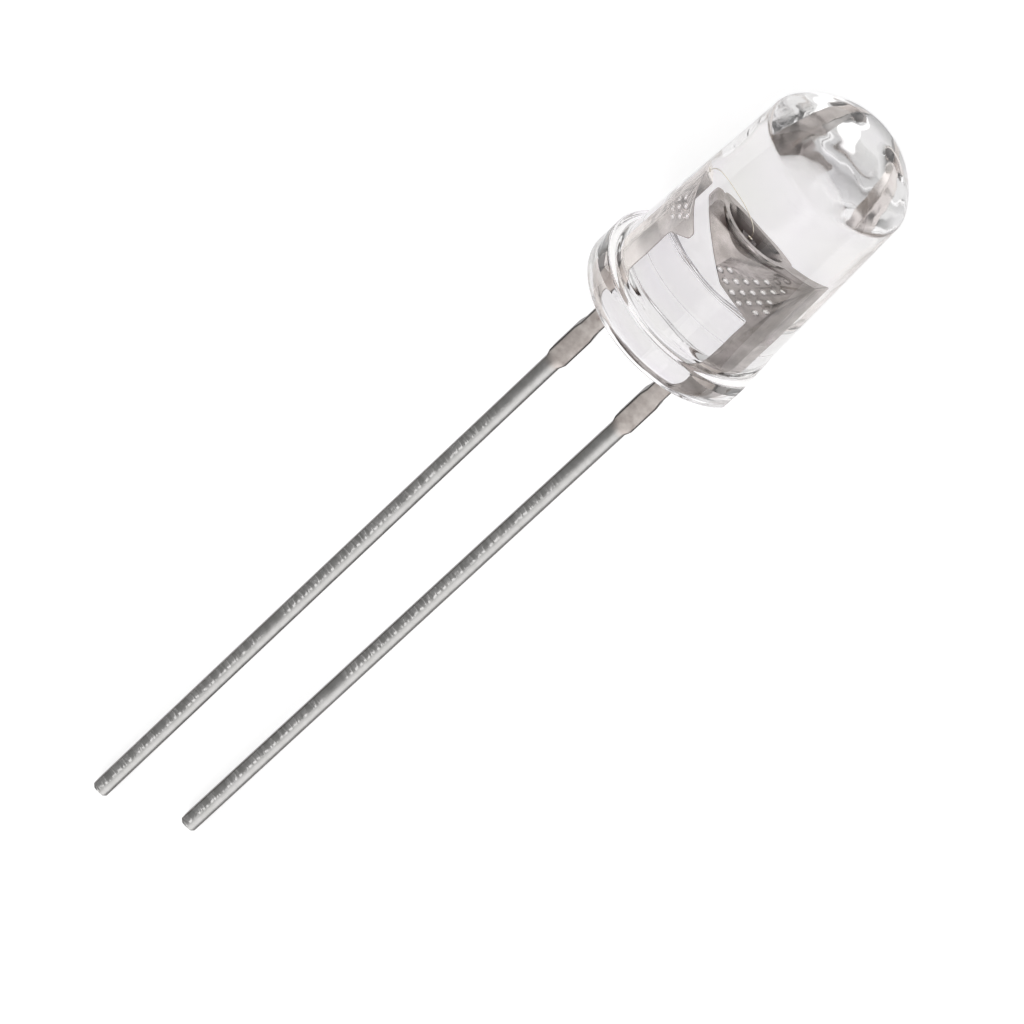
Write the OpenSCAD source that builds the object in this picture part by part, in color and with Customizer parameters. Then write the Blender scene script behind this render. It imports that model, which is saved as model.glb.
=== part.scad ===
// Clear 5 mm through hole LED: a domed epoxy lens cast round a stamped lead frame.
// The lamp is drawn upright. z = 0 is the seat, which is the flat underside of the flange,
// +z runs up the lens axis to the dome, +x to the cathode, and the coined face of the frame
// looks to -y. The frame sits a little off the axis, as it was cast.
// at_rest() then lays it down on its flange and both lead tips, about the seat's centre.

/* [Lens] */
// Height from the seat to the top of the dome
lens_height = 8.7; // [7.8:0.1:10.6]
// Diameter of the barrel where it leaves the flange
barrel_d = 5.2; // [4.6:0.05:6]
// Draft of the barrel, in degrees on each side
barrel_draft = 2.3; // [0:0.05:3]
// How much larger the dome's radius is than the barrel's at the flange
dome_extra = 0.05; // [0.03:0.01:0.6]
// Radius that softens the shoulder between barrel and dome
shoulder_r = 0.4; // [0.1:0.05:0.8]
// How far the flange stands out past the barrel
flange_lip = 0.34; // [0.3:0.01:0.8]
// Height of the flange
flange_h = 1; // [0.6:0.05:1.6]
// Step left between the barrel and the flat that marks the cathode
flat_step = 0.02; // [0.02:0.01:0.2]
// Concave radius where the barrel meets the flange
flange_fillet = 0.25; // [0.1:0.05:0.5]
// Rounding of the flange's upper edge
flange_edge = 0.08; // [0.04:0.01:0.2]
// Rounding of its lower edge, round the seat
seat_edge = 0.08; // [0.06:0.01:0.2]
// How far the resin climbed down each lead below the seat
creep_h = 0.8; // [0.5:0.05:1.2]
// How far that resin spreads from the lead where it meets the seat
creep_spread = 0.4; // [0.1:0.05:0.5]

/* [Lead frame] */
// Distance between the two leads, centre to centre
lead_pitch = 2.54; // [2.3:0.01:3.1]
// Width of a lead
lead_w = 0.5; // [0.4:0.01:0.54]
// Thickness of the sheet that the frame is stamped from
sheet_t = 0.5; // [0.35:0.01:0.6]
// How far the frame sits off the lens axis, towards the anode
frame_offset = 0.1; // [0:0.01:0.15]
// How far each tip leans towards the other lead
toe_in = 0.08; // [0:0.01:0.2]
// Length of the anode below the seat
anode_l = 24.6; // [20:0.1:30]
// Length of the cathode below the seat
cathode_l = 23.3; // [19:0.1:29]
// Width of the posts inside the lens, down to the stubs
post_w = 0.54; // [0.45:0.01:0.62]
// Width of the stubs where the strip's tie bar was cut away
stub_w = 0.63; // [0.62:0.01:0.9]
// Height of those stubs
stub_h = 1.6; // [0.9:0.05:2]
// Height of the slope at each end of a stub
stub_slope = 0.25; // [0.05:0.05:0.4]
// Depth of the stubs' upper end below the seat
stub_drop = 2.05; // [1:0.05:3]
// Bevel left by the shears at each tip
tip_bevel = 0.06; // [0.02:0.01:0.12]

/* [Anvil and bonding head] */
// Height of the cup's rim and of the bonding head above the seat
rim_z = 4.38; // [3.6:0.01:5.3]
// How far the anvil's free end stands out past the cup
anvil_lip = 0.15; // [0.02:0.01:0.2]
// Height of the anvil's free end
anvil_end = 0.5; // [0.35:0.01:0.7]
// Rounding of that end's upper corner
end_r = 0.18; // [0.05:0.01:0.2]
// Distance from the cup's centre line to the lowest corner of the anvil
belly_x = 0.2; // [0:0.01:0.4]
// Depth of that corner below the rim
belly_drop = 1.75; // [1.6:0.01:1.9]
// Depth below the rim at which the anvil runs into its post
foot_drop = 2.08; // [1.95:0.01:2.4]
// Gap between the anvil's slanted underside and the bonding head
frame_gap = 0.43; // [0.3:0.01:0.5]
// Gap between the anvil's free end and the bonding head
end_gap = 0.35; // [0.3:0.01:0.4]
// Reach of the bonding head from its lead's centre line towards the cup
head_reach = 0.53; // [0.45:0.01:0.6]
// Reach of the bonding head from that line outwards
head_back = 0.55; // [0.5:0.01:0.6]
// How far the anode's post is set outwards inside the lens
post_jog = 0.12; // [0.02:0.01:0.15]
// Height of that jog above the seat
jog_z = 0.45; // [0.3:0.05:0.7]
// Height of the bonding head's toe
toe_h = 0.24; // [0.2:0.01:0.4]
// Rounding of the toe
toe_r = 0.18; // [0.05:0.01:0.2]
// Rounding of the other stamped corners
stamp_r = 0.12; // [0.05:0.01:0.15]

/* [Reflector cup] */
// Outer diameter of the cup at its rim
cup_d = 1.6; // [1.4:0.01:1.7]
// Thickness of the cup's wall at the rim
cup_wall = 0.18; // [0.1:0.01:0.25]
// Diameter of the cup's floor
floor_d = 0.66; // [0.56:0.01:0.8]
// Depth of the cup
cup_depth = 0.38; // [0.3:0.01:0.42]
// Height of the upright band below the rim
band_h = 0.08; // [0.04:0.01:0.15]
// Thickness of metal left under the cup's floor
cup_base = 0.24; // [0.12:0.01:0.4]
// Diameter of that nose
nose_d = 0.44; // [0.3:0.01:0.6]

/* [Coined dimples] */
// Spacing of the dimples that key the frame into the resin
dimple_pitch = 0.245; // [0.2:0.005:0.4]
// Angle of the rows of dimples from the horizontal
dimple_turn = 60; // [0:1:90]
// Diameter of a dimple
dimple_d = 0.17; // [0.08:0.01:0.18]
// Depth of a dimple
dimple_depth = 0.045; // [0.01:0.005:0.05]
// Margin kept between a dimple's centre and the edge of the sheet
dimple_margin = 0.085; // [0.085:0.005:0.2]
// Radius of the area left smooth round the cup
smooth_r = 1; // [0.9:0.01:1.2]
// Distance of that area's centre from the cup's centre line, towards the anode
smooth_shift = 0.15; // [0:0.01:0.2]
// Depth of that centre below the rim
smooth_drop = 0.18; // [0:0.01:0.2]
// Radius of the area left smooth round the bonding spot
bond_smooth_r = 0.9; // [0.7:0.01:1.1]
// Distance from a lead's centre line at which its dimples stop
dimple_stop = 0.14; // [0.1:0.01:0.25]
// Depth below the rim at which the anvil's dimples stop
dimple_low = 1.85; // [1.4:0.01:2]
// Depth below the rim of the dimple on the anode's centre line
head_dimple_drop = 1.44; // [1.3:0.01:1.6]

/* [Chip and wire] */
// Side of the chip
die_w = 0.3; // [0.2:0.01:0.35]
// Height of the chip
die_h = 0.18; // [0.1:0.01:0.2]
// Ring of bare floor round the pad of silver epoxy under the chip
attach_margin = 0.09; // [0.03:0.01:0.12]
// Thickness of that pad
attach_t = 0.03; // [0.02:0.005:0.05]
// Diameter of the bond pad on the chip
pad_d = 0.12; // [0.1:0.01:0.16]
// Thickness of the bond pad
pad_t = 0.01; // [0.005:0.005:0.02]
// Diameter of the bond wire
wire_d = 0.025; // [0.02:0.005:0.04]
// Height of the wire's loop above the rim, at its control points
wire_loop = 0.6; // [0.5:0.05:1]
// Diameter of the ball that bonds the wire to the chip
ball_d = 0.09; // [0.06:0.005:0.1]
// Height of that ball
ball_h = 0.03; // [0.02:0.005:0.05]
// Length of the flattened stitch at the wire's other end
stitch_l = 0.14; // [0.1:0.01:0.2]
// Width of the stitch
stitch_w = 0.07; // [0.04:0.005:0.1]
// Thickness of the stitch
stitch_t = 0.02; // [0.015:0.005:0.03]

/* [Hidden] */
$fn = 96;
CORNER_STEPS = 6;
WIRE_RINGS = 28;
WIRE_SIDES = 8;
CUT_OVER = 0.05;

anode_x = -lead_pitch / 2 - frame_offset;
cathode_x = lead_pitch / 2 - frame_offset;
cup_x = -frame_offset;
anode_post_x = anode_x - post_jog;
barrel_r = barrel_d / 2;
flange_r = barrel_r + flange_lip;
flat_x = barrel_r + flat_step;
dome_r = barrel_r + dome_extra;
dome_z = lens_height - dome_r;

cup_floor_z = rim_z - cup_depth;
mouth_d = cup_d - 2 * cup_wall;
nose_z = cup_floor_z - cup_base;
die_z = cup_floor_z + attach_t;
pad_z = die_z + die_h;
ball_z = pad_z + pad_t;

// The bonding head runs beside the anvil: its upright edge clears the anvil's free end, and its
// slanted edge lies parallel to the anvil's underside.
anvil_low = [cup_x - cup_d / 2 - anvil_lip, rim_z - anvil_end];
anvil_belly = [cup_x + belly_x, rim_z - belly_drop];
under_slope = (anvil_belly.y - anvil_low.y) / (anvil_belly.x - anvil_low.x);
head_inner_x = anvil_low.x - end_gap;
head_outer_x = anode_x - head_back;
toe_x = anode_x + head_reach;
function head_edge_z(x) = anvil_low.y + under_slope * (x - anvil_low.x)
    - frame_gap * sqrt(1 + under_slope * under_slope);
toe_z = head_edge_z(toe_x) - toe_h;
bond_x = (head_inner_x + head_outer_x) / 2;

// How the lamp lies: a plane that touches the flange's lower edge and both lead tips.
// `fall` is the sine of the pitch. `lean` is how much the longer lead rolls the lamp, per unit
// of it. The longer lead's tip touches with its corner on the cathode's side.
lean = (anode_l - cathode_l) / (lead_pitch - 2 * toe_in);
tip_x = anode_x + toe_in + lead_w / 2 - tip_bevel;
function down_y(fall) = sqrt(1 - fall * fall * (1 + lean * lean));
function rim_down(fall) = (flange_r - seat_edge) * sqrt(1 - fall * fall) + seat_edge * (1 - fall);
function solve_fall(fall, tries) = tries == 0 ? fall : solve_fall(
    (rim_down(fall) - down_y(fall) * sheet_t / 2) / (anode_l + lean * tip_x), tries - 1);
fall = solve_fall(0, 8);
rest_pitch = asin(fall);
rest_roll = asin(lean * fall / cos(rest_pitch));

// A closed outline from corners [x, y, radius]. A rounded corner becomes an arc.
function unit(v) = v / norm(v);
function corner_arc(before, at, after, r) =
    let (a = unit(before - at), b = unit(after - at),
         half = acos(a * b) / 2,
         centre = at + unit(a + b) * r / sin(half),
         from = at + a * r / tan(half) - centre,
         to = at + b * r / tan(half) - centre)
    [for (i = [0:CORNER_STEPS])
        let (k = i / CORNER_STEPS * (180 - 2 * half))
        centre + (from * sin(180 - 2 * half - k) + to * sin(k)) / sin(2 * half)];
function xy(p) = [p.x, p.y];
function rounded(corners) =
    let (n = len(corners))
    [for (i = [0:n - 1])
        let (c = corners[i], before = xy(corners[(i + n - 1) % n]), after = xy(corners[(i + 1) % n]))
        each (len(c) < 3 ? [xy(c)] : corner_arc(before, xy(c), after, c.z))];

// One side of a lead from the tip up to the post: side is -1 or 1, l is the length and tip is
// where the leaning lead ends.
function lead_side(x, tip, side, l) = [
    [tip + side * (lead_w / 2 - tip_bevel), -l],
    [tip + side * lead_w / 2, tip_bevel - l],
    [x + side * lead_w / 2, -stub_drop - stub_h],
    [x + side * stub_w / 2, stub_slope - stub_drop - stub_h],
    [x + side * stub_w / 2, -stub_drop - stub_slope],
    [x + side * post_w / 2, -stub_drop]];
function reversed(list) = [for (i = [len(list) - 1:-1:0]) list[i]];

anode_outline = rounded(concat(
    lead_side(anode_x, anode_x + toe_in, 1, anode_l),
    [[anode_x + post_w / 2, jog_z, post_jog / 2],
     [anode_post_x + post_w / 2, jog_z + post_jog, post_jog / 2],
     [anode_post_x + post_w / 2, toe_z - (toe_x - anode_post_x - post_w / 2), stamp_r],
     [toe_x, toe_z, toe_r],
     [toe_x, head_edge_z(toe_x), stamp_r],
     [head_inner_x, head_edge_z(head_inner_x), stamp_r],
     [head_inner_x, rim_z],
     [head_outer_x, rim_z, stamp_r / 2],
     [head_outer_x, toe_z, stamp_r],
     [anode_post_x - post_w / 2, toe_z - (anode_post_x - post_w / 2 - head_outer_x), stamp_r],
     [anode_post_x - post_w / 2, jog_z + post_jog, post_jog / 2],
     [anode_x - post_w / 2, jog_z, post_jog / 2]],
    reversed(lead_side(anode_x, anode_x + toe_in, -1, anode_l))));

cathode_outline = rounded(concat(
    lead_side(cathode_x, cathode_x - toe_in, 1, cathode_l),
    [[cathode_x + post_w / 2, rim_z, stamp_r / 2],
     [anvil_low.x, rim_z, end_r],
     [anvil_low.x, anvil_low.y, stamp_r],
     [anvil_belly.x, anvil_belly.y, stamp_r],
     [cathode_x - post_w / 2, rim_z - foot_drop, stamp_r]],
    reversed(lead_side(cathode_x, cathode_x - toe_in, -1, cathode_l))));

// Distance from a point to a segment, and to the nearest edge of an outline, and whether a
// point lies inside an outline: they pick the dimples that fit on a piece.
function to_segment(p, a, b) =
    let (k = max(0, min(1, (p - a) * (b - a) / ((b - a) * (b - a)))))
    norm(p - a - k * (b - a));
function to_edge(p, outline) =
    min([for (i = [0:len(outline) - 1]) to_segment(p, outline[i], outline[(i + 1) % len(outline)])]);
function crossed(p, a, b) =
    (a.y > p.y) != (b.y > p.y) && p.x < a.x + (b.x - a.x) * (p.y - a.y) / (b.y - a.y) ? 1 : 0;
function is_inside(p, outline) =
    let (n = len(outline))
    [for (i = [0:n - 1]) crossed(p, outline[i], outline[(i + 1) % n])] * [for (i = [0:n - 1]) 1] % 2 == 1;
function dimple_sites(outline, seed, smooth_at, bare_r, stop_x, lowest) =
    let (reach = ceil(rim_z / dimple_pitch))
    [for (i = [-reach:reach], j = [-reach:reach])
        let (row = dimple_pitch * [cos(dimple_turn), sin(dimple_turn)],
             column = dimple_pitch * [sin(dimple_turn), -cos(dimple_turn)],
             p = seed + i * row + j * column)
        if (p.x < stop_x && p.y > lowest && norm(p - smooth_at) > bare_r && is_inside(p, outline)
            && to_edge(p, outline) > dimple_margin) p];
anode_dimples = dimple_sites(anode_outline, [anode_x, rim_z - head_dimple_drop],
    [bond_x, rim_z], bond_smooth_r, anode_x + dimple_stop, toe_z - stamp_r);
cathode_dimples = dimple_sites(cathode_outline, [cup_x, rim_z],
    [cup_x - smooth_shift, rim_z - smooth_drop], smooth_r, cathode_x - dimple_stop,
    rim_z - dimple_low);

// The stamped sheet, and the dimples coined into its face.
module sheet(outline) {
    rotate([90, 0, 0])
        translate([0, 0, -sheet_t / 2])
            linear_extrude(sheet_t) polygon(outline);
}

module dimples(sites) {
    ball = (dimple_d * dimple_d / 4 + dimple_depth * dimple_depth) / (2 * dimple_depth);
    for (p = sites)
        translate([p.x, dimple_depth - sheet_t / 2 - ball, p.y]) sphere(ball, $fn = 24);
}

module anode_shape() {
    difference() {
        sheet(anode_outline);
        dimples(anode_dimples);
    }
}

// The cup is coined down into the top of the anvil, so its wall bulges from both faces.
module cathode_shape() {
    difference() {
        union() {
            sheet(cathode_outline);
            translate([cup_x, 0, 0]) rotate_extrude() polygon(rounded([
                [0, nose_z],
                [nose_d / 2, nose_z, nose_d / 3],
                [cup_d / 2, rim_z - band_h, band_h / 2],
                [cup_d / 2, rim_z],
                [0, rim_z]]));
        }
        translate([cup_x, 0, cup_floor_z])
            cylinder(h = cup_depth + CUT_OVER, d1 = floor_d,
                d2 = floor_d + (mouth_d - floor_d) * (1 + CUT_OVER / cup_depth));
        dimples(cathode_dimples);
    }
}

module attach_shape() {
    translate([cup_x, 0, cup_floor_z])
        cylinder(h = attach_t, d = floor_d - 2 * attach_margin, $fn = 12);
}

module die_shape() {
    translate([cup_x - die_w / 2, -die_w / 2, die_z]) cube([die_w, die_w, die_h]);
    translate([cup_x, 0, pad_z]) cylinder(h = pad_t, d = pad_d, $fn = 12);
}

// The wire rises from its ball, loops over the rim and comes down on the bonding head. Its
// centre line is a cubic curve in the plane y = 0, swept with a ring of corners.
wire_start = [cup_x, ball_z + ball_h / 2];
wire_end = [bond_x + stitch_l / 4, rim_z + wire_d / 2];
wire_knots = [wire_start, [wire_start.x, rim_z + wire_loop],
    [wire_end.x + stitch_l, rim_z + wire_loop], wire_end];
function curve(t) = wire_knots[0] * pow(1 - t, 3) + wire_knots[1] * 3 * t * pow(1 - t, 2)
    + wire_knots[2] * 3 * t * t * (1 - t) + wire_knots[3] * pow(t, 3);
function curve_way(t) = unit((wire_knots[1] - wire_knots[0]) * pow(1 - t, 2)
    + (wire_knots[2] - wire_knots[1]) * 2 * t * (1 - t) + (wire_knots[3] - wire_knots[2]) * t * t);
function wire_ring(t) =
    let (p = curve(t), way = curve_way(t))
    [for (i = [0:WIRE_SIDES - 1])
        let (turn = i * 360 / WIRE_SIDES, off = cos(turn) * wire_d / 2)
        [p.x - way.y * off, sin(turn) * wire_d / 2, p.y + way.x * off]];

module wire_shape() {
    points = [for (i = [0:WIRE_RINGS]) each wire_ring(i / WIRE_RINGS)];
    sides = [for (i = [0:WIRE_RINGS - 1], j = [0:WIRE_SIDES - 1])
        let (a = i * WIRE_SIDES + j, b = i * WIRE_SIDES + (j + 1) % WIRE_SIDES)
        each [[a, a + WIRE_SIDES, b], [b, a + WIRE_SIDES, b + WIRE_SIDES]]];
    first = [for (j = [0:WIRE_SIDES - 1]) j];
    last = [for (j = [WIRE_SIDES - 1:-1:0]) WIRE_RINGS * WIRE_SIDES + j];
    polyhedron(points, concat(sides, [first, last]));
    translate([cup_x, 0, ball_z]) cylinder(h = ball_h, d = ball_d, $fn = 12);
    translate([bond_x - stitch_l / 2, -stitch_w / 2, rim_z]) cube([stitch_l, stitch_w, stitch_t]);
}

// Half section of the casting: barrel and dome with a rounded shoulder, then the flange with
// the fillet above it. The shoulder's circle touches the barrel's line and the dome's arc.
module barrel_half() {
    inward = -[cos(barrel_draft), sin(barrel_draft)];
    upward = [-sin(barrel_draft), cos(barrel_draft)];
    centre = [0, dome_z];
    base = [barrel_r, flange_h] + shoulder_r * inward - centre;
    along = sqrt(pow(dome_r - shoulder_r, 2) - base * base + pow(base * upward, 2)) - base * upward;
    shoulder = centre + base + along * upward;
    polygon([[0, 0], [barrel_r + flange_h * tan(barrel_draft), 0],
        shoulder - shoulder_r * inward, shoulder, centre]);
    translate(shoulder) circle(shoulder_r);
    intersection() {
        translate(centre) circle(dome_r);
        polygon([centre, centre + 2 * dome_r * unit(shoulder - centre), centre + [0, 2 * dome_r]]);
    }
}

module flange_half() {
    fillet_at = [barrel_r - flange_fillet * tan(barrel_draft) + flange_fillet / cos(barrel_draft),
        flange_h + flange_fillet];
    polygon([[0, 0], [flange_r - seat_edge, 0], [flange_r - seat_edge, seat_edge],
        [flange_r, seat_edge], [flange_r, flange_h - flange_edge],
        [flange_r - flange_edge, flange_h - flange_edge], [flange_r - flange_edge, flange_h],
        [0, flange_h]]);
    translate([flange_r - seat_edge, seat_edge]) circle(seat_edge);
    translate([flange_r - flange_edge, flange_h - flange_edge]) circle(flange_edge);
    difference() {
        polygon([[barrel_r / 2, flange_h], [fillet_at.x, flange_h], fillet_at,
            fillet_at - flange_fillet * [cos(barrel_draft), sin(barrel_draft)],
            [barrel_r / 2, fillet_at.y]]);
        translate(fillet_at) circle(flange_fillet);
    }
}

// Resin that climbed a lead while it set: a collar with a hollow flank, thinning to nothing.
module creep(x) {
    core = min(post_w, sheet_t) / 2 - CUT_OVER / 2;
    flank_r = (creep_spread * creep_spread + creep_h * creep_h) / (2 * creep_spread);
    translate([x, 0, 0]) rotate_extrude() difference() {
        translate([0, -creep_h]) square([core + creep_spread, creep_h + flange_h / 2]);
        translate([core + flank_r, -creep_h]) circle(flank_r);
    }
}

module lens_shape() {
    difference() {
        union() {
            rotate_extrude() union() {
                barrel_half();
                flange_half();
            }
            creep(anode_x);
            creep(cathode_x);
        }
        translate([flat_x, -flange_r, -CUT_OVER])
            cube([flange_r, 2 * flange_r, flange_h + flange_fillet + 2 * CUT_OVER]);
        anode_shape();
        cathode_shape();
        attach_shape();
        die_shape();
        wire_shape();
    }
}

// Lays the upright lamp down: dome to +x, cathode to -y, coined face up.
module at_rest() {
    rotate([0, -rest_pitch, 0])
        rotate([rest_roll - 90, 0, 0])
            rotate([0, 90, 0]) children();
}

module lens() {
    color("aliceblue", 0.35) at_rest() lens_shape();
}

module anode_lead() {
    color("silver") at_rest() anode_shape();
}

module cathode_lead() {
    color("silver") at_rest() cathode_shape();
}

module die_attach() {
    color("lightgray") at_rest() attach_shape();
}

module die() {
    color("gold") at_rest() die_shape();
}

module bond_wire() {
    color("goldenrod") at_rest() wire_shape();
}

lens();
anode_lead();
cathode_lead();
die_attach();
die();
bond_wire();
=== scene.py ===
# %% [markdown]
# # A clear 5 mm through hole LED
# The lamp lies on a white table: it leans on the rim of its flange and on the tips of its two
# leads. A water-clear epoxy lens is cast round a stamped lead frame, so nearly everything that
# the eye sees inside it is metal and light bent by the resin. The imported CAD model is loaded
# first and stays fixed. It says where everything goes.

# %% The fixed frame
import math

import bmesh
import bpy
import numpy as np
from mathutils import Matrix, Vector


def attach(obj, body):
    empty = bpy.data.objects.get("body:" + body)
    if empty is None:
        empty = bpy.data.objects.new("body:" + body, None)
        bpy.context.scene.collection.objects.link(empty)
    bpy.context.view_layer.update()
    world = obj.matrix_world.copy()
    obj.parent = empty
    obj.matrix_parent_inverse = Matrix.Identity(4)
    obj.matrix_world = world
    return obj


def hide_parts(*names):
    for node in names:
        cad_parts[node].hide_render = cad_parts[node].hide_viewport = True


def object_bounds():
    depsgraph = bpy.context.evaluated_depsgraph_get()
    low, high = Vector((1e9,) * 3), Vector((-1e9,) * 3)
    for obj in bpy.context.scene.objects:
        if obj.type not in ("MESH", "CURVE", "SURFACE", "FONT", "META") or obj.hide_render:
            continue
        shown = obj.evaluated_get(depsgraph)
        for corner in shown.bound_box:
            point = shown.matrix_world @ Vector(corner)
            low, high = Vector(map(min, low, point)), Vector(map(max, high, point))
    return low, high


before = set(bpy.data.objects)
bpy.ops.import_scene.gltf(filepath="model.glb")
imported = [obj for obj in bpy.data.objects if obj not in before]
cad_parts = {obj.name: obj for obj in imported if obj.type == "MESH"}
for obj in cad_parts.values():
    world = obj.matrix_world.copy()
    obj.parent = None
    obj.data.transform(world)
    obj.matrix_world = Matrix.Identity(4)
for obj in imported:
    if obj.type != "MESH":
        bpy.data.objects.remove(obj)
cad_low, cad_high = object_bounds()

MM = 0.001
print("nodes", sorted(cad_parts))
print("CAD box in mm", [round((high - low) / MM, 2) for low, high in zip(cad_low, cad_high)])

# %% [markdown]
# ## Sizes
# A lamp like this is drawn upright: z is zero at the seat, the flat underside of the flange,
# +z runs to the dome, +x to the cathode and -y is the coined face of the lead frame. The sizes
# are the real ones, in millimetres, and every new piece below is made from them.

# %% Sizes of the lens in millimetres
BARREL_R = 2.6
BARREL_DRAFT = math.radians(2.3)
LENS_HEIGHT = 8.7
DOME_R = 2.65
SHOULDER_R = 0.4
FLANGE_R = 2.94
FLANGE_H = 1.0
FLANGE_EDGE = 0.08
SEAT_EDGE = 0.08
FLANGE_FILLET = 0.25
FLAT_X = 2.62
CREEP_H = 0.8
CREEP_SPREAD = 0.4
SEAT_DISH = 0.18
SEAT_DISH_REACH = 0.28
print("lens", LENS_HEIGHT, "mm high,", 2 * FLANGE_R, "mm across the flange")

# %% Sizes of the leads in millimetres
LEAD_PITCH = 2.54
FRAME_OFFSET = 0.1
TOE_IN = 0.08
LEAD_W = 0.5
SHEET_T = 0.5
POST_W = 0.54
STUB_W = 0.63
STUB_H = 1.6
STUB_SLOPE = 0.25
STUB_DROP = 2.05
STUB_FOOT = -STUB_DROP - STUB_H
TIP_BEVEL = 0.06
LEAD_LENGTH = {"anode": 24.6, "cathode": 23.3}
LEAD_X = {"anode": -LEAD_PITCH / 2 - FRAME_OFFSET, "cathode": LEAD_PITCH / 2 - FRAME_OFFSET}
TOWARDS_MIDDLE = {"anode": 1, "cathode": -1}
print("leads at x", LEAD_X)

# %% [markdown]
# ## How the lamp lies
# Three points carry it: the lowest point of the flange's rounded edge and one corner of each
# lead's tip. The angle of the lens axis to the table follows from the flange's radius and the
# leads' lengths, and the longer lead rolls the lamp a little. A few rounds of one formula find
# both: each round works out how far the axis falls per millimetre from the fall before.

# %% The turn that lays the lamp down
ROUNDS = 8

lean = (LEAD_LENGTH["anode"] - LEAD_LENGTH["cathode"]) / (LEAD_PITCH - 2 * TOE_IN)
tip_x = LEAD_X["anode"] + TOE_IN + LEAD_W / 2 - TIP_BEVEL
fall = 0.0
for _ in range(ROUNDS):
    rim_down = (FLANGE_R - SEAT_EDGE) * math.sqrt(1 - fall ** 2) + SEAT_EDGE * (1 - fall)
    face_down = math.sqrt(1 - fall ** 2 * (1 + lean ** 2)) * SHEET_T / 2
    fall = (rim_down - face_down) / (LEAD_LENGTH["anode"] + lean * tip_x)
rise = math.asin(fall)
roll = math.asin(lean * fall / math.cos(rise))
LAY = (Matrix.Rotation(-rise, 3, "Y") @ Matrix.Rotation(roll - math.pi / 2, 3, "X")
       @ Matrix.Rotation(math.pi / 2, 3, "Y"))
TO_DOME = LAY @ Vector((0, 0, 1))
TO_BACK = LAY @ Vector((0, 1, 0))
TABLE_Z = cad_low.z
print("lens axis rises", round(math.degrees(rise), 2), "deg, roll", round(math.degrees(roll), 2))
print("table at", round(TABLE_Z / MM, 3), "mm; by the sizes", round(-rim_down, 3))

# %% [markdown]
# ## From arrays to pieces
# Each new piece is a surface worked out as a whole numpy array in the upright frame and in
# millimetres. One helper lays the points down and scales them to metres, another makes the
# quads of a grid, and a third turns the result into a piece of the one body.

# %% Points and faces
def laid_down(points):
    """Upright millimetres to metres in the lying frame: the turn LAY, then the scale."""
    return points @ np.array(LAY).T * MM


def stood_up(points):
    """The way back: metres in the lying frame to upright millimetres."""
    return points @ np.array(LAY) / MM


def grid_faces(rows, columns):
    """Quads of a grid of points, row after row, whose last column joins its first."""
    i, j = np.meshgrid(np.arange(rows - 1), np.arange(columns), indexing="ij")
    k = (j + 1) % columns
    quads = [i * columns + j, i * columns + k, (i + 1) * columns + k, (i + 1) * columns + j]
    return np.stack(quads, -1).reshape(-1, 4).tolist()


print("top of the dome at", laid_down(np.array([0, 0, LENS_HEIGHT])).round(5), "m")

# %% Objects and pieces
SMOOTH_UP_TO = 35


def new_object(name, data):
    """An object of the scene that shows the data."""
    obj = bpy.data.objects.new(name, data)
    bpy.context.scene.collection.objects.link(obj)
    return obj


def shade(mesh, smooth_up_to=SMOOTH_UP_TO):
    """Shades smooth, and keeps the edges over that many degrees sharp."""
    mesh.shade_smooth()
    mesh.set_sharp_from_angle(angle=math.radians(smooth_up_to))


def add_piece(name, mesh, material, node):
    """A mesh as a piece of the one body, standing for a CAD node."""
    piece = new_object(name, mesh)
    mesh.materials.clear()
    mesh.materials.append(material)
    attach(piece, "root")
    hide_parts(node)
    return piece


# %% [markdown]
# ## The finishes
# A finish is a small graph of nodes. Noise gives a pattern, two tones or a range turn it into a
# colour or a roughness, and a bump turns it into height. Each helper adds one such node and
# returns its output, so that a finish reads as a few lines.

# %% A material and what feeds it
def new_material(name):
    """A node material: its tree, its Principled shader and its Object coordinates."""
    material = bpy.data.materials.new(name)
    material.use_nodes = True
    tree = material.node_tree
    coordinates = tree.nodes.new("ShaderNodeTexCoord")
    return material, tree, tree.nodes["Principled BSDF"], coordinates.outputs["Object"]


def feed(tree, socket, value):
    """Gives an input its value, which is another node's output or a constant."""
    if isinstance(value, bpy.types.NodeSocket):
        tree.links.new(value, socket)
    else:
        socket.default_value = value


# %% Helpers for values
def add_math(tree, operation, *values):
    """One or two values put through an operation."""
    node = tree.nodes.new("ShaderNodeMath")
    node.operation = operation
    for socket, value in zip(node.inputs, values):
        feed(tree, socket, value)
    return node.outputs[0]


def add_range(tree, value, low, high, start=0.0, end=1.0, soft=False):
    """Maps start..end to low..high and stops there; soft eases both ends."""
    spread = tree.nodes.new("ShaderNodeMapRange")
    if soft:
        spread.interpolation_type = "SMOOTHSTEP"
    limits = {"Value": value, "From Min": start, "From Max": end, "To Min": low, "To Max": high}
    for name, limit in limits.items():
        feed(tree, spread.inputs[name], limit)
    return spread.outputs["Result"]


def add_mask(tree, value, start, end):
    """0 before start and 1 past end, with a soft step between; start may be the higher one."""
    return add_range(tree, value, 0.0, 1.0, start, end, soft=True)


def add_dot(tree, vector, direction):
    """The dot product of a vector with a fixed one: how far it reaches that way."""
    dot = tree.nodes.new("ShaderNodeVectorMath")
    dot.operation = "DOT_PRODUCT"
    dot.inputs[1].default_value = direction
    tree.links.new(vector, dot.inputs[0])
    return dot.outputs["Value"]


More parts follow.
